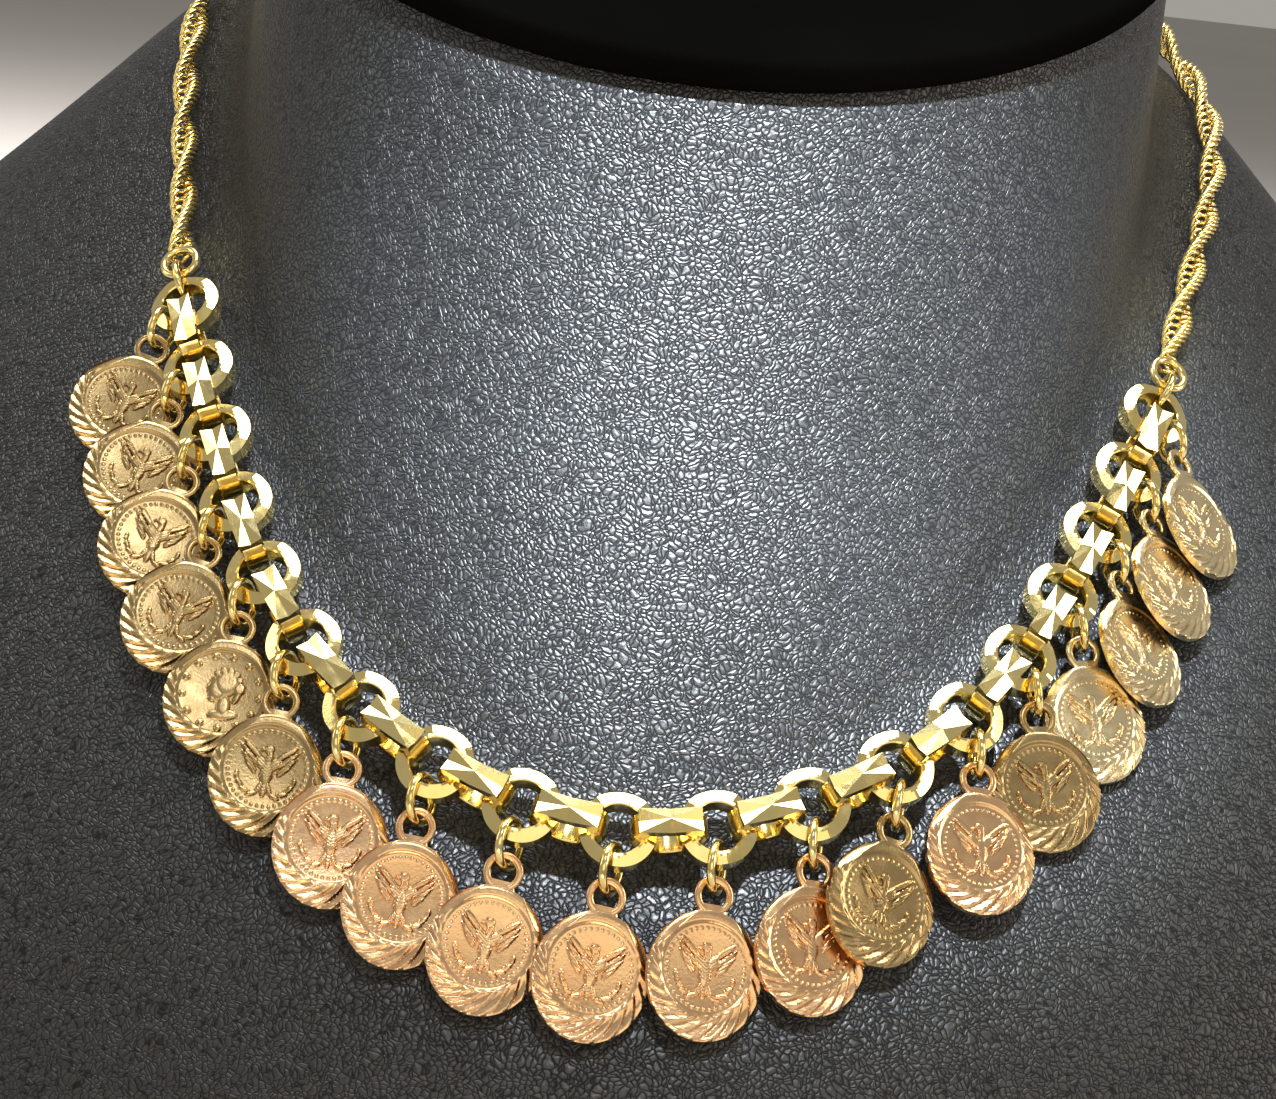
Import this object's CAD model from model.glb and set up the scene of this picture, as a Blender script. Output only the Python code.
"""Looks for the coin necklace on its neck bust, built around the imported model.

Sizes and places are in millimetres, in the same frame as the solids, and every mesh is turned
into metres when its piece is made. Angles are in degrees. Links, rings and coins take their
places from the solids that they stand for.
"""

import math

import bpy
import numpy as np
from mathutils import Matrix, Vector
from mathutils.bvhtree import BVHTree


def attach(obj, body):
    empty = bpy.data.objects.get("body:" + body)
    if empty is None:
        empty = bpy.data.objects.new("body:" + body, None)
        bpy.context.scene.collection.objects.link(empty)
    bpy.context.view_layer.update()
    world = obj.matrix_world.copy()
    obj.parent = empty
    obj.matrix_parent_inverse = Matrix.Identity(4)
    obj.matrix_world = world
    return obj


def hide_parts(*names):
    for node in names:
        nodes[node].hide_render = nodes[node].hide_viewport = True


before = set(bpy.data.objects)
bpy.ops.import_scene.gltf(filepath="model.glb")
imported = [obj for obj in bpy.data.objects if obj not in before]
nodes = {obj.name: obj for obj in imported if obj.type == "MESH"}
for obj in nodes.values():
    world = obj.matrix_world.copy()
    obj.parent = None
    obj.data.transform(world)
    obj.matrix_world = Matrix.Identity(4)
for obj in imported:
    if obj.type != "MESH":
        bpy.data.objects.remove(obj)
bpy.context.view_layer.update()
MM = 0.001

# Camera

CAMERA_PLACE = (-1.05, -251.73, 174.14)
CAMERA_PITCH = 15.0
CAMERA_ROLL = 6.455
CAMERA_LENS = 67.7
CAMERA_SENSOR = 36.0
# The nearest and the farthest that the camera sees, in metres
CAMERA_REACH = (0.01, 50.0)


def add_camera():
    """The camera at the photograph's place: pitched down and rolled a little."""
    pitch = math.radians(CAMERA_PITCH)
    roll = math.radians(CAMERA_ROLL)
    ahead = Vector((0, math.cos(pitch), -math.sin(pitch)))
    level = Vector((1, 0, 0))
    over = level.cross(ahead)
    right = level * math.cos(roll) + over * math.sin(roll)
    up = over * math.cos(roll) - level * math.sin(roll)
    data = bpy.data.cameras.new("camera")
    data.lens = CAMERA_LENS
    data.sensor_width = CAMERA_SENSOR
    data.sensor_fit = "HORIZONTAL"
    data.clip_start, data.clip_end = CAMERA_REACH
    camera = bpy.data.objects.new("camera", data)
    matrix = Matrix((right, up, -ahead)).transposed().to_4x4()
    matrix.translation = Vector(CAMERA_PLACE) * MM
    camera.matrix_world = matrix
    bpy.context.scene.collection.objects.link(camera)
    bpy.context.scene.camera = camera


add_camera()

# Reading the solids

MERGE_DIGITS = 3
FIT_PASSES = 4
# Points this near a ring's middle, in shares of its hole's radius, are on its inside wall
WALL_SHARE = 1.12
# Ways that lie along no ring's axis, from which a ring's own X way is made
FIT_WAY = np.array((1.0, 0.3, 0.2))
RING_WAY = np.array((0.3, 0.2, 1.0))


def node_mesh(name):
    """A node's merged corner points in millimetres and its triangles."""
    mesh = nodes[name].data
    mesh.calc_loop_triangles()
    points = np.zeros(len(mesh.vertices) * 3)
    mesh.vertices.foreach_get("co", points)
    points = points.reshape(-1, 3) / MM
    triangles = np.zeros(len(mesh.loop_triangles) * 3, int)
    mesh.loop_triangles.foreach_get("vertices", triangles)
    merged, index = np.unique(np.round(points, MERGE_DIGITS), axis=0, return_inverse=True)
    return merged, index.ravel()[triangles].reshape(-1, 3)


def islands(points, triangles):
    """The points of each loose solid, from left to right."""
    label = np.arange(len(points))
    edges = np.vstack((triangles[:, :2], triangles[:, 1:], triangles[:, ::2]))
    while True:
        low = np.minimum(label[edges[:, 0]], label[edges[:, 1]])
        fresh = label.copy()
        np.minimum.at(fresh, edges[:, 0], low)
        np.minimum.at(fresh, edges[:, 1], low)
        fresh = fresh[fresh]
        if (fresh == label).all():
            break
        label = fresh
    groups = [points[label == value] for value in np.unique(label)]
    return sorted(groups, key=lambda group: group[:, 0].mean())


def unit(vector):
    """The same direction at length one."""
    return vector / np.linalg.norm(vector)


def squared(vector, along):
    """A direction made perpendicular to another one."""
    return unit(vector - along * np.dot(vector, along))


def ring_frame(points, inner_radius):
    """A ring's middle and axis, from the circle of its inside wall."""
    middle = points.mean(0)
    for _ in range(FIT_PASSES):
        offset = points - middle
        axis = np.linalg.svd(offset - offset.mean(0), full_matrices=False)[2][2]
        first = squared(FIT_WAY, axis)
        second = np.cross(axis, first)
        x = offset @ first
        y = offset @ second
        near = np.hypot(x, y) < inner_radius * WALL_SHARE
        grid = np.c_[2 * x[near], 2 * y[near], np.ones(near.sum())]
        fit = np.linalg.lstsq(grid, x[near] ** 2 + y[near] ** 2, rcond=None)[0]
        lift = (offset @ axis).max() / 2 + (offset @ axis).min() / 2
        middle = middle + first * fit[0] + second * fit[1] + axis * lift
    return middle, axis


# Making meshes


class Shape:
    """Points in millimetres and faces, gathered from several closed surfaces."""

    def __init__(self):
        self.points = []
        self.faces = []
        self.count = 0

    def add(self, points, faces):
        """Adds a surface and numbers its faces after those that are there."""
        self.points.append(np.asarray(points, float))
        self.faces.extend(tuple(corner + self.count for corner in face) for face in faces)
        self.count += len(points)

    def piece(self, name, material, node, crease):
        """Makes the Blender object, which stands for a node and is sharp past the crease angle."""
        mesh = bpy.data.meshes.new(name)
        mesh.from_pydata((np.vstack(self.points) * MM).tolist(), [], self.faces)
        mesh.validate()
        mesh.polygons.foreach_set("use_smooth", np.ones(len(mesh.polygons), bool))
        mesh.set_sharp_from_angle(angle=math.radians(crease))
        mesh.materials.append(material)
        made = bpy.data.objects.new(name, mesh)
        bpy.context.scene.collection.objects.link(made)
        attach(made, "root")
        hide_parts(node)
        return made


def full_turn(count):
    """Angles in radians at an even spacing round a full turn."""
    return np.linspace(0, 2 * math.pi, count, endpoint=False)


def loop_faces(rows, columns, closed_rows=True):
    """The faces of a tube: rows of points, each row a closed loop of columns."""
    faces = []
    for row in range(rows if closed_rows else rows - 1):
        here = row * columns
        there = (row + 1) % rows * columns
        for column in range(columns):
            beside = (column + 1) % columns
            faces.append((here + column, there + column, there + beside, here + beside))
    return faces


def turned(faces):
    """The same faces seen from their other side."""
    return [face[::-1] for face in faces]


def placed(points, middle, x_way, y_way, z_way):
    """Local points turned and moved to their place."""
    return middle + points @ np.vstack((x_way, y_way, z_way))


def soft_square(turn, wide_power, high_power):
    """A point on a closed curve between a circle and a square, which the powers set."""
    wide = np.sign(math.cos(turn)) * abs(math.cos(turn)) ** wide_power
    high = np.sign(math.sin(turn)) * abs(math.sin(turn)) ** high_power
    return wide, high


# Materials

# Noise and pebble scales are in waves a metre, and bump depths in metres. Two tones or two
# roughnesses are the range that a surface varies over.
CHAIN_TONES = ((1.0, 0.78, 0.3), (1.0, 0.84, 0.4))
ROSE_TONES = ((0.96, 0.6, 0.32), (0.98, 0.66, 0.37))
TAN_TONES = ((0.98, 0.78, 0.46), (1.0, 0.84, 0.52))
LEFT_TONES = ((0.52, 0.36, 0.165), (0.57, 0.41, 0.195))
HOLLOW_TONE = (0.42, 0.26, 0.16)
CHAIN_ROUGHNESS = (0.1, 0.2)
ROSE_ROUGHNESS = (0.18, 0.28)
TAN_ROUGHNESS = (0.2, 0.3)
LEFT_ROUGHNESS = (0.2, 0.3)
# A grain's scale and depth
CHAIN_GRAIN = (5200.0, 0.00001)
COIN_GRAIN = (3600.0, 0.00002)
GRAIN_STRENGTH = 0.5
GOLD_CLOUD = 260.0
GOLD_STOPS = (0.35, 0.65)
WEAR_CLOUD = 900.0
WEAR_DETAIL = 3.0
WEAR_STOPS = (0.35, 0.7)
# The pointiness at which metal is sunk, level and raised, and how bright it is when level
SUNK = 0.4
LEVEL = 0.5
RAISED = 0.6
LEVEL_SHARE = 0.97

LEATHER = {
    "tone": (0.008, 0.009, 0.0105),
    "pebble": 1800.0,
    "depth": 0.000085,
    "roughness": 0.41,
    "specular": 0.8,
}
CAP_LEATHER = {
    "tone": (0.003, 0.003, 0.003),
    "pebble": 2300.0,
    "depth": 0.00002,
    "roughness": 0.45,
    "specular": 0.0,
}
WARP_CLOUD = 420.0
WARP_REACH = 0.0011
# A distance from the crease, and there the pebble's height or its share of the gloss
PEBBLE_DOME = ((0.0, 0.0), (0.14, 0.6), (0.4, 1.0))
PEBBLE_GLOSS = ((0.02, 0.2), (0.12, 0.85), (0.25, 1.1))
PEBBLE_STRENGTH = 1.0
# Fine folds and pores over the pebbles: scales and the pores' depth are shares of the pebbles'
FOLD_SCALE = 0.45
FOLD_DETAIL = 3.0
FOLD_STRENGTH = 0.6
PORE_SCALE = 4.5
PORE_STRENGTH = 0.35
PORE_DEPTH = 0.35
LEATHER_BREAKUP = 0.6
SHINE_STOPS = (0.3, 0.75)
SHINE_SPREAD = (-0.06, 0.12)
LEATHER_CLOUD = 45.0
LEATHER_STOPS = (0.3, 0.75)
LIGHT_SHARE = 1.5


def node_material(name, color, metallic, roughness):
    """A new material with its node tree and its shader."""
    material = bpy.data.materials.new(name)
    material.use_nodes = True
    tree = material.node_tree
    shader = tree.nodes["Principled BSDF"]
    shader.inputs["Base Color"].default_value = (*color, 1.0)
    shader.inputs["Metallic"].default_value = metallic
    shader.inputs["Roughness"].default_value = roughness
    return material, tree, shader


def object_place(tree):
    """The object's own coordinates."""
    return tree.nodes.new("ShaderNodeTexCoord").outputs["Object"]


def color_ramp(tree, source, stops, colors):
    """A colour ramp fed by a factor."""
    ramp = tree.nodes.new("ShaderNodeValToRGB")
    tree.links.new(source, ramp.inputs["Fac"])
    elements = ramp.color_ramp.elements
    while len(elements) < len(stops):
        elements.new(0.5)
    for element, position, color in zip(elements, stops, colors):
        element.position = position
        element.color = (*color, 1.0)
    return ramp.outputs["Color"]


def grey(value):
    """A grey as a colour."""
    return (value, value, value)


def grey_ramp(tree, source, stops, values):
    """A ramp of greys fed by a factor."""
    return color_ramp(tree, source, stops, [grey(value) for value in values])


def noise_node(tree, coordinates, scale, detail=2.0, breakup=0.5, output="Fac"):
    """Noise over the object's own coordinates."""
    noise = tree.nodes.new("ShaderNodeTexNoise")
    noise.inputs["Scale"].default_value = scale
    noise.inputs["Detail"].default_value = detail
    noise.inputs["Roughness"].default_value = breakup
    tree.links.new(coordinates, noise.inputs["Vector"])
    return noise.outputs[output]


def mix_node(tree, blend, factor, first, second):
    """A colour or place blended with another one."""
    mix = tree.nodes.new("ShaderNodeMix")
    mix.data_type = "RGBA"
    mix.blend_type = blend
    mix.inputs["Factor"].default_value = factor
    tree.links.new(first, mix.inputs["A"])
    tree.links.new(second, mix.inputs["B"])
    return mix.outputs["Result"]


def bump_node(tree, height, strength, distance, before=None):
    """A bump from a height, over an earlier bump."""
    bump = tree.nodes.new("ShaderNodeBump")
    bump.inputs["Strength"].default_value = strength
    bump.inputs["Distance"].default_value = distance
    tree.links.new(height, bump.inputs["Height"])
    if before is not None:
        tree.links.new(before, bump.inputs["Normal"])
    return bump.outputs["Normal"]


def gold_material(name, tones, roughness, grain, hollow=None):
    """Gold whose tone and polish vary a little, with a fine grain.

    A hollow tone darkens the metal where the surface is sunk.
    """
    material, tree, shader = node_material(name, tones[0], 1.0, roughness[0])
    coordinates = object_place(tree)
    wide = noise_node(tree, coordinates, GOLD_CLOUD)
    color = color_ramp(tree, wide, GOLD_STOPS, tones)
    if hollow is not None:
        form = tree.nodes.new("ShaderNodeNewGeometry").outputs["Pointiness"]
        stains = (hollow, grey(LEVEL_SHARE), grey(1.0))
        stain = color_ramp(tree, form, (SUNK, LEVEL, RAISED), stains)
        color = mix_node(tree, "MULTIPLY", 1.0, color, stain)
    tree.links.new(color, shader.inputs["Base Color"])
    wear = noise_node(tree, coordinates, WEAR_CLOUD, WEAR_DETAIL)
    polish = grey_ramp(tree, wear, WEAR_STOPS, roughness)
    tree.links.new(polish, shader.inputs["Roughness"])
    fine_scale, fine_depth = grain
    fine = noise_node(tree, coordinates, fine_scale)
    tree.links.new(bump_node(tree, fine, GRAIN_STRENGTH, fine_depth), shader.inputs["Normal"])
    return material


def pebble_distance(tree, coordinates, scale):
    """How far each place is from the creases between the pebbles, whose edges wander a little."""
    warp = noise_node(tree, coordinates, WARP_CLOUD, output="Color")
    cells = tree.nodes.new("ShaderNodeTexVoronoi")
    cells.feature = "DISTANCE_TO_EDGE"
    cells.inputs["Scale"].default_value = scale
    cells.inputs["Randomness"].default_value = 1.0
    bend = mix_node(tree, "LINEAR_LIGHT", WARP_REACH, coordinates, warp)
    tree.links.new(bend, cells.inputs["Vector"])
    return cells.outputs["Distance"]


def leather_material(name, tone, pebble, depth, roughness, specular):
    """Embossed leatherette: raised pebbles with creases between them."""
    material, tree, shader = node_material(name, tone, 0.0, roughness)
    coordinates = object_place(tree)
    distance = pebble_distance(tree, coordinates, pebble)
    domes = grey_ramp(tree, distance, *zip(*PEBBLE_DOME))
    normal = bump_node(tree, domes, PEBBLE_STRENGTH, depth)
    folds = noise_node(tree, coordinates, pebble * FOLD_SCALE, FOLD_DETAIL, LEATHER_BREAKUP)
    normal = bump_node(tree, folds, FOLD_STRENGTH, depth, normal)
    pores = noise_node(tree, coordinates, pebble * PORE_SCALE, breakup=LEATHER_BREAKUP)
    normal = bump_node(tree, pores, PORE_STRENGTH, depth * PORE_DEPTH, normal)
    tree.links.new(normal, shader.inputs["Normal"])
    shine = grey_ramp(tree, pores, SHINE_STOPS, [roughness + spread for spread in SHINE_SPREAD])
    tree.links.new(shine, shader.inputs["Roughness"])
    wide = noise_node(tree, coordinates, LEATHER_CLOUD)
    light_tone = tuple(value * LIGHT_SHARE for value in tone)
    color = color_ramp(tree, wide, LEATHER_STOPS, (tone, light_tone))
    tree.links.new(color, shader.inputs["Base Color"])
    level = shader.inputs["Specular IOR Level"]
    level.default_value = specular
    if specular > 0:
        stops, shares = zip(*PEBBLE_GLOSS)
        gloss = grey_ramp(tree, distance, stops, [specular * share for share in shares])
        tree.links.new(gloss, level)
    return material


def dress(node, material):
    """Gives a solid its material."""
    nodes[node].data.materials.clear()
    nodes[node].data.materials.append(material)


chain_gold = gold_material("chain_gold", CHAIN_TONES, CHAIN_ROUGHNESS, CHAIN_GRAIN)
coin_rose = gold_material("coin_gold_rose", ROSE_TONES, ROSE_ROUGHNESS, COIN_GRAIN, HOLLOW_TONE)
coin_tan = gold_material("coin_gold_tan", TAN_TONES, TAN_ROUGHNESS, COIN_GRAIN, HOLLOW_TONE)
coin_left = gold_material("coin_gold_left", LEFT_TONES, LEFT_ROUGHNESS, COIN_GRAIN, HOLLOW_TONE)
dress("neck_bust", leather_material("leatherette", **LEATHER))
dress("neck_cap", leather_material("cap_leatherette", **CAP_LEATHER))
dress("clasp", chain_gold)

# Belcher chain

LINK_RADIUS = 3.5
LINK_HOLE = 2.45
LINK_INNER = 2.25
LINK_HALF_BAND = 1.05
LINK_BEVEL = 0.12
LINK_THINNEST = 0.25
LINK_FACETS = 5
LINK_CREASE = 8.0
# Where the band's rows of points run between its inner bevel and its outside
BAND_RADII = (2.6, 2.82, 3.05, 3.28)
FACET_STEPS = 13
FACET_START = 2.38
FACET_SLOPE = 0.42
STAR_LEVEL = 2.5
STAR_RISE = 0.74
STAR_CORNER = 0.5
STAR_VALLEY = 0.12
STAR_HALF_LENGTH = 2.8
STAR_HALF_WIDTH = 1.13
STAR_FOOT = 1.9


def link_band(slope, x_limit):
    """A link's ring about its own Z axis, with flat bright cuts round both of its faces.

    The slope is how steep the cuts are, and the ring is flattened beyond the x limit.
    """
    radii = np.array([LINK_INNER, LINK_INNER + LINK_BEVEL, *BAND_RADII, LINK_RADIUS])
    bevel_height = LINK_HALF_BAND - LINK_BEVEL
    facet = 2 * math.pi / LINK_FACETS
    turns = full_turn(LINK_FACETS * FACET_STEPS) + math.pi / 2
    points = []
    for turn in turns:
        aside = (turn - math.pi / 2 + facet / 2) % facet - facet / 2
        front = LINK_HALF_BAND - slope * (radii * math.cos(aside) - FACET_START)
        front = np.clip(front, LINK_THINNEST, LINK_HALF_BAND)
        front[0] = bevel_height
        front[-1] = min(front[-1], bevel_height)
        ring = [*zip(radii, front), *zip(radii[::-1], -front[::-1])]
        for radius, height in ring:
            x = min(radius * math.cos(turn), x_limit)
            points.append((x, radius * math.sin(turn), height))
    return np.array(points), turned(loop_faces(len(turns), len(radii) * 2))


def star_plate():
    """The cut plate on an edge-on link: facets that meet at its middle, facing +X."""
    half = STAR_HALF_WIDTH
    length = STAR_HALF_LENGTH
    edge = STAR_LEVEL + STAR_CORNER
    mid = STAR_LEVEL + STAR_VALLEY
    rim = [
        (edge, -length, -half),
        (mid, 0.0, -half),
        (edge, length, -half),
        (mid, length, 0.0),
        (edge, length, half),
        (mid, 0.0, half),
        (edge, -length, half),
        (mid, -length, 0.0),
    ]
    foot = [(STAR_FOOT, y, z) for _, y, z in rim]
    points = [(STAR_LEVEL + STAR_RISE, 0.0, 0.0), *rim, *foot, (STAR_FOOT, 0.0, 0.0)]
    last = len(points) - 1
    faces = []
    for step in range(len(rim)):
        here = 1 + step
        after = 1 + (step + 1) % len(rim)
        faces.append((0, here, after))
        faces.append((here, here + len(rim), after + len(rim), after))
        faces.append((last, after + len(rim), here + len(rim)))
    return np.array(points), faces


def chain_frames():
    """Each link's middle, its run to the right and its way out, from left to right."""
    found = [ring_frame(group, LINK_HOLE) for group in islands(*node_mesh("belcher_chain"))]
    middles = np.array([middle for middle, _ in found])
    places = []
    for index, (middle, axis) in enumerate(found):
        low = max(index - 1, 0)
        high = min(index + 1, len(found) - 1)
        run = unit(middles[high] - middles[low])
        if index % 2 == 0:
            out = axis * np.sign(axis[2] - axis[1])
        else:
            run = squared(run, axis)
            out = np.cross(run, axis)
            out = out * np.sign(out[2] - out[1])
        places.append((middle, squared(run, out), out))
    return places


def belcher_chain():
    """The heavy chain: its links lie flat and on edge by turns."""
    flat_points, flat_faces = link_band(FACET_SLOPE, LINK_RADIUS)
    edge_points, edge_faces = link_band(0.0, STAR_LEVEL)
    star_points, star_faces = star_plate()
    shape = Shape()
    for index, (middle, run, out) in enumerate(chain_frames()):
        side = np.cross(out, run)
        if index % 2 == 0:
            shape.add(placed(flat_points, middle, run, side, out), flat_faces)
        else:
            shape.add(placed(edge_points, middle, out, run, side), edge_faces)
            shape.add(placed(star_points, middle, out, run, side), star_faces)
    return shape.piece("belcher_links", chain_gold, "belcher_chain", LINK_CREASE)


chain_pieces = [belcher_chain()]

# Rings

COIN_COUNT = 19
# Each ring's radius to the middle of its wire, and the wire's radius
COIN_RING = (2.1, 0.4)
END_RING = (1.775, 0.425)
RING_AROUND = 44
RING_ACROSS = 12
RING_CREASE = 60.0


def ring_points(radius, wire):
    """A round wire ring about its own Z axis."""
    turn = full_turn(RING_AROUND)[:, None]
    roll = full_turn(RING_ACROSS)[None, :]
    reach = radius + wire * np.cos(roll)
    x = reach * np.cos(turn)
    y = reach * np.sin(turn)
    z = np.broadcast_to(wire * np.sin(roll), x.shape)
    return np.stack((x, y, z), 2).reshape(-1, 3)


def ring_set(name, node, sizes):
    """Round wire rings in place of a node's solids, with their sizes from left to right."""
    shape = Shape()
    faces = loop_faces(RING_AROUND, RING_ACROSS)
    for group, (radius, wire) in zip(islands(*node_mesh(node)), sizes):
        middle, axis = ring_frame(group, radius - wire)
        first = squared(RING_WAY, axis)
        points = placed(ring_points(radius, wire), middle, first, np.cross(axis, first), axis)
        shape.add(points, faces)
    shape.piece(name, chain_gold, node, RING_CREASE)


ring_set("jump_rings", "coin_rings", [COIN_RING] * COIN_COUNT)
ring_set("end_ring_pair_left", "end_rings_left", [END_RING, COIN_RING])
ring_set("end_ring_pair_right", "end_rings_right", [COIN_RING, END_RING])

# Coins

COIN_THICKNESS = 0.95
COIN_HALF_WIDTH = 5.1
COIN_HALF_HEIGHT = 5.65
COIN_CREASE = 34.0
FIELD_RADIUS = 4.05
FIELD_RISE = 0.6
FIELD_STEP = 0.13
FIELD_DISH = 0.14
FIELD_WALL = 0.4
EYE_RADIUS = 1.8
EYE_HOLE = 1.1
EYE_DISTANCE = 7.0
EYE_HALF_THICKNESS = 0.325
EYE_POWER = 0.7
EYE_AROUND = 44
EYE_ACROSS = 14
BEAD_CIRCLE = 3.5
BEAD_COUNT = 42
BEAD_RADIUS = 0.12
BEAD_RISE_SHARE = 0.55
STUD_COUNT = 13
STUD_RADIUS = 0.31
RELIEF_GAIN = 1.35
# The barbs across the feathers: their depth, their waves in radians a millimetre, and the
# least relief that has them
BARB_DEPTH = 0.018
BARB_WAVES_ACROSS = 15.0
BARB_WAVES_UP = 21.0
BARB_FLOOR = 0.08
# The slanted cuts round the lower rim: spacing, middle, span and fade are in degrees, the
# sweep is in degrees a millimetre, and a cut's two sides are shares of the spacing
CUT_SPACING = 15.0
CUT_DEPTH = 0.26
CUT_SWEEP = 15.0
CUT_MIDDLE = 6.0
CUT_SPAN = 128.0
CUT_FADE = 22.0
CUT_LONG_SIDE = 0.7
CUT_SHORT_SIDE = 0.3
CUT_START = 0.1
CUT_RUN_OUT = 0.9
# The flat cuts on the shoulders below the eye: their ways, their distance and their slope
SHOULDER_WAYS = (140.0, 32.0)
SHOULDER_DISTANCE = 4.55
SHOULDER_SLOPE = 0.5
# The rounded edge of the front: its start and width in shares of the coin's size, and its drop
RIM_START = 0.93
RIM_WIDTH = 0.07
RIM_DROP = 0.09
# The side and the back from the front's edge inward: share of the coin's size, and height
BACK_ROWS = ((1.004, 0.12), (1.004, -0.36), (0.985, -0.45), (0.95, -0.475), (0.5, -0.475))
# The waist between the disc and the eye, and how it spreads towards its foot and its head
WAIST_FOOT = 4.6
WAIST_HEAD = 6.2
WAIST_ROWS = 9
WAIST_AROUND = 16
WAIST_HALF_WIDTH = 1.2
WAIST_FOOT_SPREAD = 1.0
WAIST_FOOT_POWER = 2.4
WAIST_HEAD_SPREAD = 0.1
WAIST_HEAD_POWER = 3
WAIST_HALF_THICKNESS = 0.36
WAIST_THINNING = 0.04
WAIST_POWERS = (0.45, 0.6)
HEAD_COIN = 5
FIRST_ROSE = 7
LAST_ROSE = 14
# Coins further right that have the left coins' duller gold
DULL_COINS = (13, 15)
# The rows and steps of points on a coin's front
RINGS_ACROSS = 56
STEPS_AROUND = 252
# Reading a coin's solid: the smallest area, how alike two ways are and how near two levels are
LEAST_AREA = 1e-12
SAME_WAY = 0.9998
SAME_LEVEL = 0.02

# The relief in shares of the field's radius: middle x and y, half width, half length, lean
# outward from upright in degrees, and rise in millimetres
BIRD_BODY = [
    (0.0, -0.08, 0.14, 0.32, 0.0, 0.2),
    (0.01, 0.26, 0.075, 0.18, 8.0, 0.2),
    (-0.02, 0.44, 0.105, 0.105, 0.0, 0.22),
    (-0.13, 0.42, 0.035, 0.09, 80.0, 0.16),
]
WING_FEATHERS = [
    (0.35, 0.37, 0.06, 0.34, 50.0, 0.19),
    (0.41, 0.25, 0.06, 0.33, 46.0, 0.17),
    (0.42, 0.12, 0.055, 0.29, 43.0, 0.15),
    (0.38, 0.01, 0.05, 0.22, 41.0, 0.14),
    (0.15, 0.12, 0.12, 0.19, 38.0, 0.2),
]
TAIL_FEATHERS = [
    (0.0, -0.46, 0.08, 0.2, 0.0, 0.15),
    (0.1, -0.44, 0.06, 0.19, -24.0, 0.14),
]
LEAVES = [
    (0.26, -0.62, 0.05, 0.13, 110.0, 0.14),
    (0.42, -0.54, 0.05, 0.13, 75.0, 0.14),
    (0.55, -0.40, 0.05, 0.12, 40.0, 0.14),
    (0.63, -0.23, 0.045, 0.11, 8.0, 0.13),
]
HEAD_PARTS = [
    (0.06, 0.22, 0.30, 0.34, 12.0, 0.2),
    (-0.10, 0.06, 0.22, 0.32, -6.0, 0.18),
    (-0.30, 0.04, 0.05, 0.09, -24.0, 0.11),
    (-0.17, -0.17, 0.11, 0.10, 0.0, 0.15),
    (0.10, -0.30, 0.16, 0.28, -8.0, 0.15),
    (0.14, -0.52, 0.34, 0.13, -10.0, 0.12),
    (0.38, 0.14, 0.13, 0.15, 0.0, 0.21),
    (0.36, -0.08, 0.07, 0.16, 20.0, 0.18),
]
HAIR_CURLS = [
    (-0.17, 0.42, 0.075, 0.075, 0.0, 0.24),
    (-0.04, 0.50, 0.08, 0.08, 0.0, 0.24),
    (0.11, 0.52, 0.08, 0.08, 0.0, 0.24),
    (0.25, 0.45, 0.08, 0.08, 0.0, 0.24),
    (0.34, 0.33, 0.075, 0.075, 0.0, 0.24),
]


def coin_frame(points, triangles):
    """A coin's middle, its way to the right, its way up and its face's way, from its flat back."""
    corners = points[triangles]
    cross = np.cross(corners[:, 1] - corners[:, 0], corners[:, 2] - corners[:, 0])
    area = np.linalg.norm(cross, axis=1)
    normal = cross / np.maximum(area, LEAST_AREA)[:, None]
    spot = corners.mean(1)
    guess = normal[area.argmax()]
    best = None
    for back in (guess, -guess):
        facing = normal @ back > SAME_WAY
        level = spot[facing] @ back
        outer = level > level.max() - SAME_LEVEL
        share = area[facing][outer].sum()
        if best is None or share > best[0]:
            best = (share, back, facing, outer)
    _, back, facing, outer = best
    flat_spot = spot[facing][outer]
    weight = area[facing][outer]
    disc = (flat_spot * weight[:, None]).sum(0) / weight.sum()
    inner_spot = spot[facing][~outer]
    inner_weight = area[facing][~outer]
    eye = (inner_spot * inner_weight[:, None]).sum(0) / inner_weight.sum()
    up = squared(eye - disc, back)
    middle = disc - back * COIN_THICKNESS / 2
    return middle, np.cross(up, -back), up, -back


def relief(x, y, rows):
    """The height of rounded forms over the field, each an ellipse with a domed top."""
    height = np.zeros_like(x)
    for middle_x, middle_y, half_width, half_length, lean, rise in rows:
        turn = math.radians(lean)
        dx = x - middle_x * FIELD_RADIUS
        dy = y - FIELD_RISE - middle_y * FIELD_RADIUS
        along = (dx * math.sin(turn) + dy * math.cos(turn)) / (half_length * FIELD_RADIUS)
        across = (dx * math.cos(turn) - dy * math.sin(turn)) / (half_width * FIELD_RADIUS)
        reach = across**2 + along**2
        dome = RELIEF_GAIN * rise * np.clip(1 - reach**2, 0, 1) ** 0.5
        height = np.maximum(height, dome)
    return height


def mirrored(rows):
    """The rows and their mirror images."""
    return rows + [(-x, y, width, length, -lean, rise) for x, y, width, length, lean, rise in rows]


def bead_height(x, y, count, radius):
    """The height of a ring of studs round the field."""
    height = np.zeros_like(x)
    for step in range(count):
        turn = 2 * math.pi * step / count
        dx = x - BEAD_CIRCLE * math.cos(turn)
        dy = y - FIELD_RISE - BEAD_CIRCLE * math.sin(turn)
        reach = (dx**2 + dy**2) / radius**2
        height = np.maximum(height, radius * BEAD_RISE_SHARE * np.sqrt(np.clip(1 - reach, 0, 1)))
    return height


def smooth_step(value):
    """Rises from 0 to 1 with soft ends."""
    value = np.clip(value, 0, 1)
    return value * value * (3 - 2 * value)


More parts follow.
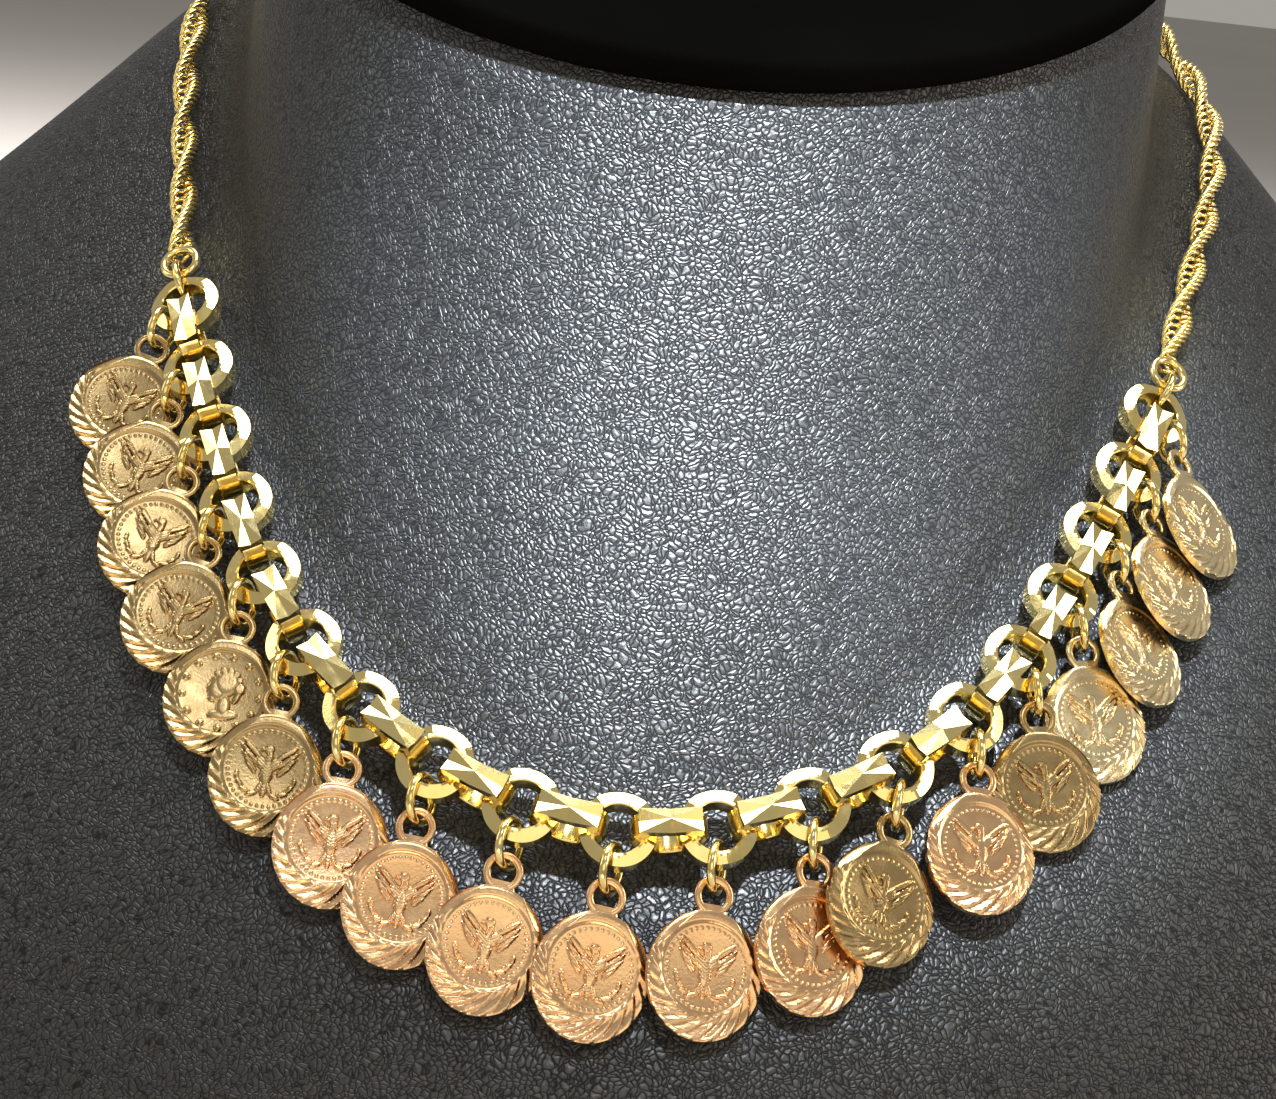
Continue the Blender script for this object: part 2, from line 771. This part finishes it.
def cut_depth(x, y, field):
    """How deep the slanted cuts go, which sweep round the lower rim and die out upward."""
    angle = np.degrees(np.arctan2(x, -y + FIELD_RISE))
    swept = angle + CUT_SWEEP * (field - FIELD_RADIUS)
    saw = np.mod(swept / CUT_SPACING, 1)
    ridge = np.where(saw < CUT_LONG_SIDE, saw / CUT_LONG_SIDE, (1 - saw) / CUT_SHORT_SIDE)
    lower = smooth_step((CUT_SPAN - np.abs(angle - CUT_MIDDLE)) / CUT_FADE)
    outward = np.clip((field - FIELD_RADIUS + CUT_START) / CUT_RUN_OUT, 0, 1)
    return CUT_DEPTH * (1 - ridge) * lower * outward


def coin_height(x, y, head):
    """How high the coin's front is over its middle plane."""
    field = np.hypot(x, y - FIELD_RISE)
    inside = smooth_step((FIELD_RADIUS - field) / FIELD_WALL + 0.5)
    dish = FIELD_STEP + FIELD_DISH * np.clip(1 - (field / FIELD_RADIUS) ** 2, 0, 1)
    height = COIN_THICKNESS / 2 - inside * dish
    if head:
        height += inside * np.maximum(relief(x, y, HEAD_PARTS), relief(x, y, HAIR_CURLS))
        height += inside * bead_height(x, y, STUD_COUNT, STUD_RADIUS)
    else:
        bird = relief(x, y, BIRD_BODY + mirrored(WING_FEATHERS + TAIL_FEATHERS))
        waves = np.sin(y * BARB_WAVES_UP - np.abs(x) * BARB_WAVES_ACROSS)
        barbs = BARB_DEPTH * waves * (bird > BARB_FLOOR)
        height += inside * np.maximum(bird + barbs, relief(x, y, mirrored(LEAVES)))
        height += inside * bead_height(x, y, BEAD_COUNT, BEAD_RADIUS)
    height -= cut_depth(x, y, field)
    for way in SHOULDER_WAYS:
        turn = math.radians(way)
        over = x * math.cos(turn) + y * math.sin(turn) - SHOULDER_DISTANCE
        height = np.minimum(height, COIN_THICKNESS / 2 - SHOULDER_SLOPE * np.clip(over, 0, None))
    edge = np.hypot(x / COIN_HALF_WIDTH, y / COIN_HALF_HEIGHT)
    return height - RIM_DROP * np.clip((edge - RIM_START) / RIM_WIDTH, 0, 1) ** 2


def coin_disc(head):
    """The coin's disc: a closed surface with its relief on the front."""
    turn = full_turn(STEPS_AROUND)
    middle = float(coin_height(np.zeros(1), np.zeros(1), head)[0])
    rows = []
    for share in np.linspace(0, 1, RINGS_ACROSS + 1)[1:]:
        x = share * COIN_HALF_WIDTH * np.cos(turn)
        y = share * COIN_HALF_HEIGHT * np.sin(turn)
        rows.append(np.stack((x, y, coin_height(x, y, head)), 1))
    for share, level in BACK_ROWS:
        x = share * COIN_HALF_WIDTH * np.cos(turn)
        y = share * COIN_HALF_HEIGHT * np.sin(turn)
        rows.append(np.stack((x, y, np.full_like(x, level)), 1))
    last = 1 + len(rows) * STEPS_AROUND
    inmost = last - STEPS_AROUND
    beside = [(step, (step + 1) % STEPS_AROUND) for step in range(STEPS_AROUND)]
    faces = [(0, 1 + step, 1 + after) for step, after in beside]
    for face in loop_faces(len(rows), STEPS_AROUND, closed_rows=False):
        faces.append(tuple(1 + corner for corner in face))
    faces += [(last, inmost + after, inmost + step) for step, after in beside]
    return np.vstack(((0.0, 0.0, middle), *rows, (0.0, 0.0, -COIN_THICKNESS / 2))), faces


def coin_eye():
    """The eye over the coin: a flat ring with rounded edges."""
    middle = (EYE_RADIUS + EYE_HOLE) / 2
    across = []
    for turn in full_turn(EYE_ACROSS):
        wide, high = soft_square(turn, EYE_POWER, EYE_POWER)
        across.append((middle + wide * (EYE_RADIUS - EYE_HOLE) / 2, high * EYE_HALF_THICKNESS))
    points = []
    for turn in full_turn(EYE_AROUND):
        for reach, high in across:
            points.append((reach * math.cos(turn), EYE_DISTANCE + reach * math.sin(turn), high))
    return np.array(points), loop_faces(EYE_AROUND, EYE_ACROSS)


def coin_neck():
    """The waist between the disc and the eye, with sides that draw in."""
    points = []
    for height in np.linspace(WAIST_FOOT, WAIST_HEAD, WAIST_ROWS):
        share = (height - WAIST_FOOT) / (WAIST_HEAD - WAIST_FOOT)
        foot = WAIST_FOOT_SPREAD * (1 - share) ** WAIST_FOOT_POWER
        head = WAIST_HEAD_SPREAD * share**WAIST_HEAD_POWER
        half_width = WAIST_HALF_WIDTH + foot + head
        half_thickness = WAIST_HALF_THICKNESS - WAIST_THINNING * share
        for turn in full_turn(WAIST_AROUND):
            wide, high = soft_square(turn, *WAIST_POWERS)
            points.append((wide * half_width, height, high * half_thickness))
    faces = loop_faces(WAIST_ROWS, WAIST_AROUND, closed_rows=False)
    faces.append(tuple(range(WAIST_AROUND)))
    faces.append(tuple(range(len(points) - WAIST_AROUND, len(points)))[::-1])
    return np.array(points), faces


bird_disc = coin_disc(False)
head_disc = coin_disc(True)
eye_ring = coin_eye()
waist = coin_neck()
for number in range(1, COIN_COUNT + 1):
    node = f"coin_{number:02d}"
    middle, right, up, face_way = coin_frame(*node_mesh(node))
    coin = Shape()
    for points, faces in (head_disc if number == HEAD_COIN else bird_disc, eye_ring, waist):
        coin.add(placed(points, middle, right, up, face_way), faces)
    tone = coin_rose if number <= LAST_ROSE else coin_tan
    if number < FIRST_ROSE or number in DULL_COINS:
        tone = coin_left
    coin.piece(f"charm_{number:02d}", tone, node, COIN_CREASE)

# Fine twisted chains

FINE_HALF_LENGTH = 1.4
FINE_HALF_WIDTH = 1.4
FINE_TWIST = 80.0
FINE_WIRE = 0.23
FINE_AROUND = 16
FINE_ACROSS = 6
FINE_CREASE = 75.0
# How far before and after a place on the link its way ahead is measured, in radians
FINE_STEP = 0.05
# Keeps the wire's side way from vanishing
FINE_NUDGE = np.array((0.0, 0.0, 0.001))
FINE_PITCH = 1.1
FINE_ROLL = 22.0
FINE_LIFT = 1.7
# The first link is longer and set back, so that it holds the thicker end ring
FIRST_ROLL = 36.0
FIRST_REACH = 2.7
FIRST_STRETCH = 1.107
FIRST_BACK = 0.1
ROUTE_SPACING = 1.5
TIGHT_PASSES = 60
SPLINE_STEPS = 40
# The chains' routes over the leather, from the end ring to the clasp
LEFT_ROUTE = [
    (-52.4, 3.0, 136.2),
    (-53.3, 7.4, 139.7),
    (-55.2, 14.8, 145.1),
    (-57.2, 23.9, 151.6),
    (-58.5, 33.0, 158.0),
    (-55.0, 45.0, 171.0),
    (-47.0, 60.0, 180.0),
    (-36.0, 71.0, 187.0),
    (-20.0, 80.0, 193.0),
    (-6.5, 83.0, 195.6),
]
RIGHT_ROUTE = [
    (52.9, 4.0, 136.9),
    (54.6, 10.0, 141.4),
    (57.1, 17.4, 146.1),
    (58.6, 25.0, 152.0),
    (59.5, 33.0, 158.0),
    (56.0, 45.0, 170.0),
    (47.0, 60.0, 180.0),
    (36.0, 71.0, 187.0),
    (20.0, 80.0, 193.0),
    (6.5, 83.0, 195.6),
]

bust_points, bust_triangles = node_mesh("neck_bust")
bust_tree = BVHTree.FromPolygons(bust_points.tolist(), bust_triangles.tolist())


def on_leather(point, lift):
    """The place over the leather's nearest point, and which way is out."""
    touch, normal, _, _ = bust_tree.find_nearest(Vector(point))
    return np.array(touch) + np.array(normal) * lift, np.array(normal)


def spline_place(before, start, finish, after, t):
    """A place between start and finish on the smooth line (Catmull-Rom) through four corners."""
    way = (finish - before) * t
    bend = (2 * before - 5 * start + 4 * finish - after) * t**2
    twist = (3 * start - before - 3 * finish + after) * t**3
    return 0.5 * (2 * start + way + bend + twist)


def smooth_path(corners, spacing):
    """A smooth line through the corners, as points at an even spacing."""
    corners = np.array(corners)
    ends = np.vstack((2 * corners[0] - corners[1], corners, 2 * corners[-1] - corners[-2]))
    line = []
    for index in range(1, len(ends) - 2):
        for t in np.linspace(0, 1, SPLINE_STEPS, endpoint=False):
            line.append(spline_place(*ends[index - 1 : index + 3], t))
    line.append(corners[-1])
    line = np.array(line)
    length = np.concatenate(([0.0], np.cumsum(np.linalg.norm(np.diff(line, axis=0), axis=1))))
    steps = np.linspace(0, length[-1], round(length[-1] / spacing) + 1)
    return np.stack([np.interp(steps, length, line[:, axis]) for axis in range(3)], 1)


def drawn_tight(path):
    """The path laid on the leather, then drawn tight so that it spans the hollows."""
    path[1:] = [on_leather(point, FINE_LIFT)[0] for point in path[1:]]
    for _ in range(TIGHT_PASSES):
        path[1:-1] = (path[:-2] + path[2:]) / 2
        for index in range(1, len(path) - 1):
            lifted, out = on_leather(path[index], FINE_LIFT)
            if np.dot(path[index] - lifted, out) < 0:
                path[index] = lifted
    return path


def fine_spot(turn):
    """The middle of the wire at a turn round the twisted link."""
    x = FINE_HALF_LENGTH * math.cos(turn)
    y = FINE_HALF_WIDTH * math.sin(turn)
    roll = math.radians(FINE_TWIST) * x / FINE_HALF_LENGTH
    return np.array((x, y * math.cos(roll), y * math.sin(roll)))


def fine_link():
    """One twisted link of round wire about its own X axis."""
    points = []
    for turn in full_turn(FINE_AROUND):
        spot = fine_spot(turn)
        ahead = unit(fine_spot(turn + FINE_STEP) - fine_spot(turn - FINE_STEP))
        side = squared(spot + FINE_NUDGE, ahead)
        over = np.cross(ahead, side)
        for roll in full_turn(FINE_ACROSS):
            points.append(spot + FINE_WIRE * (side * math.cos(roll) + over * math.sin(roll)))
    return np.array(points), turned(loop_faces(FINE_AROUND, FINE_ACROSS))


def flat_ring_middle(node):
    """The middle of the outer one of a pair of end rings, which lies flat."""
    groups = islands(*node_mesh(node))
    flat = groups[0] if groups[0][:, 0].mean() < 0 else groups[-1]
    return flat.mean(0)


def fine_chain(side_name, route):
    """A twisted chain of interlocked links from its end ring along its route."""
    ring = flat_ring_middle("end_rings_" + side_name)
    start = ring + unit(np.array(route[0]) - ring) * FIRST_REACH
    path = smooth_path(drawn_tight(smooth_path([start, *route], ROUTE_SPACING)), FINE_PITCH)
    link_points, link_faces = fine_link()
    shape = Shape()
    for index, place in enumerate(path):
        ahead = unit(path[min(index + 1, len(path) - 1)] - path[max(index - 1, 0)])
        out = squared(on_leather(place, 0)[1], ahead)
        side = np.cross(out, ahead)
        roll = math.radians(FIRST_ROLL + FINE_ROLL * index)
        across = side * math.cos(roll) + out * math.sin(roll)
        over = np.cross(ahead, across)
        if index == 0:
            place = place - ahead * FIRST_BACK
            ahead = ahead * FIRST_STRETCH
        shape.add(placed(link_points, place, ahead, across, over), link_faces)
    name = "twisted_chain_" + side_name
    return shape.piece(name, chain_gold, "fine_chain_" + side_name, FINE_CREASE)


chain_pieces.append(fine_chain("left", LEFT_ROUTE))
chain_pieces.append(fine_chain("right", RIGHT_ROUTE))

# Floor

# Half of the floor's side is in metres, and its clouds are in waves a metre.
FLOOR_HALF = 8
FLOOR_PAINT = (0.44, 0.42, 0.405)
FLOOR_ROUGHNESS = 0.85
FLOOR_CLOUD = 3.0
FLOOR_STOPS = (0.3, 0.7)
FLOOR_TONES = ((0.43, 0.41, 0.395), (0.45, 0.43, 0.415))


def add_floor():
    """A plain pale floor."""
    mesh = bpy.data.meshes.new("floor")
    corners = [(-1, -1), (1, -1), (1, 1), (-1, 1)]
    points = [(x * FLOOR_HALF, y * FLOOR_HALF, 0) for x, y in corners]
    mesh.from_pydata(points, [], [(0, 1, 2, 3)])
    material, tree, shader = node_material("floor_paint", FLOOR_PAINT, 0.0, FLOOR_ROUGHNESS)
    cloud = noise_node(tree, object_place(tree), FLOOR_CLOUD)
    tone = color_ramp(tree, cloud, FLOOR_STOPS, FLOOR_TONES)
    tree.links.new(tone, shader.inputs["Base Color"])
    mesh.materials.append(material)
    floor = bpy.data.objects.new("floor", mesh)
    bpy.context.scene.collection.objects.link(floor)
    return floor


# Light

# Each lamp's kind, place, target, form, power in watts and colour. The form is an area lamp's
# width and height, or a spot's cone in degrees and its lamp's radius.
LAMPS = {
    "key": ("AREA", (30, -230, 430), (10, -35, 130), (100, 80), 0.12, (0.9, 0.95, 1.0)),
    "overhead": ("AREA", (0, 90, 560), (0, -20, 110), (380, 260), 2.4, (1.0, 0.99, 0.97)),
    "front_warm": ("AREA", (110, -510, 330), (0, -50, 90), (520, 220), 0.32, (1.0, 0.86, 0.6)),
    "front_low": ("AREA", (0, -420, 20), (0, -50, 90), (300, 90), 0.4, (1.0, 0.75, 0.45)),
    "left_side": ("AREA", (-420, -60, 300), (-30, -20, 120), (120, 260), 0.2, (1.0, 0.95, 0.8)),
    "right_side": ("AREA", (430, -90, 280), (30, -20, 120), (120, 260), 0.5, (1.0, 0.93, 0.76)),
    "background": ("AREA", (0, 700, 700), (0, 600, 0), (900, 400), 30.0, (1.0, 0.96, 0.93)),
    "chest_spot": ("SPOT", (25, -250, 480), (9, -28, 138), (16.7, 12.0), 54.0, (0.86, 0.93, 1.0)),
    "glow_left": ("SPOT", (-150, -190, 330), (-48.5, -4.0, 133.0), (3.6, 3.0), 3.2, (1.0, 0.86, 0.3)),
    "glow_right": ("SPOT", (170, -190, 330), (50.5, 1.0, 138.0), (4.4, 3.0), 3.2, (1.0, 0.86, 0.3)),
    "glint": ("AREA", (-30, -150, 480), (0, -20, 130), (160, 90), 0.8, (1.0, 0.98, 0.94)),
}
WORLD_COLOR = (0.56, 0.535, 0.49, 1.0)
WORLD_STRENGTH = 0.64


def add_lamp(name, kind, place, target, form, power, color):
    """A soft square lamp or a soft-edged spot that faces its target."""
    data = bpy.data.lights.new(name, kind)
    data.energy = power
    data.color = color
    if kind == "AREA":
        data.shape = "RECTANGLE"
        data.size = form[0] * MM
        data.size_y = form[1] * MM
    else:
        data.spot_size = math.radians(form[0])
        data.spot_blend = 1.0
        data.shadow_soft_size = form[1] * MM
    lamp = bpy.data.objects.new(name, data)
    ahead = (Vector(target) - Vector(place)).normalized()
    turn = ahead.to_track_quat("-Z", "Y").to_matrix().to_4x4()
    lamp.matrix_world = Matrix.Translation(Vector(place) * MM) @ turn
    bpy.context.scene.collection.objects.link(lamp)
    return lamp


def light_only(lamp, lit):
    """Keeps a lamp's light on some objects, as a flag and a hood in front of it would."""
    group = bpy.data.collections.new(lamp.name + "_lights")
    for thing in lit:
        group.objects.link(thing)
    lamp.light_linking.receiver_collection = group


def add_world():
    """The soft light of the room."""
    world = bpy.data.worlds.new("world")
    bpy.context.scene.world = world
    world.use_nodes = True
    background = world.node_tree.nodes["Background"]
    background.inputs["Color"].default_value = WORLD_COLOR
    background.inputs["Strength"].default_value = WORLD_STRENGTH


floor = add_floor()
lamps = {name: add_lamp(name, *values) for name, values in LAMPS.items()}
light_only(lamps["background"], [floor])
light_only(lamps["chest_spot"], [nodes["neck_bust"]])
light_only(lamps["glint"], chain_pieces)
add_world()
bpy.context.scene.view_settings.view_transform = "Standard"
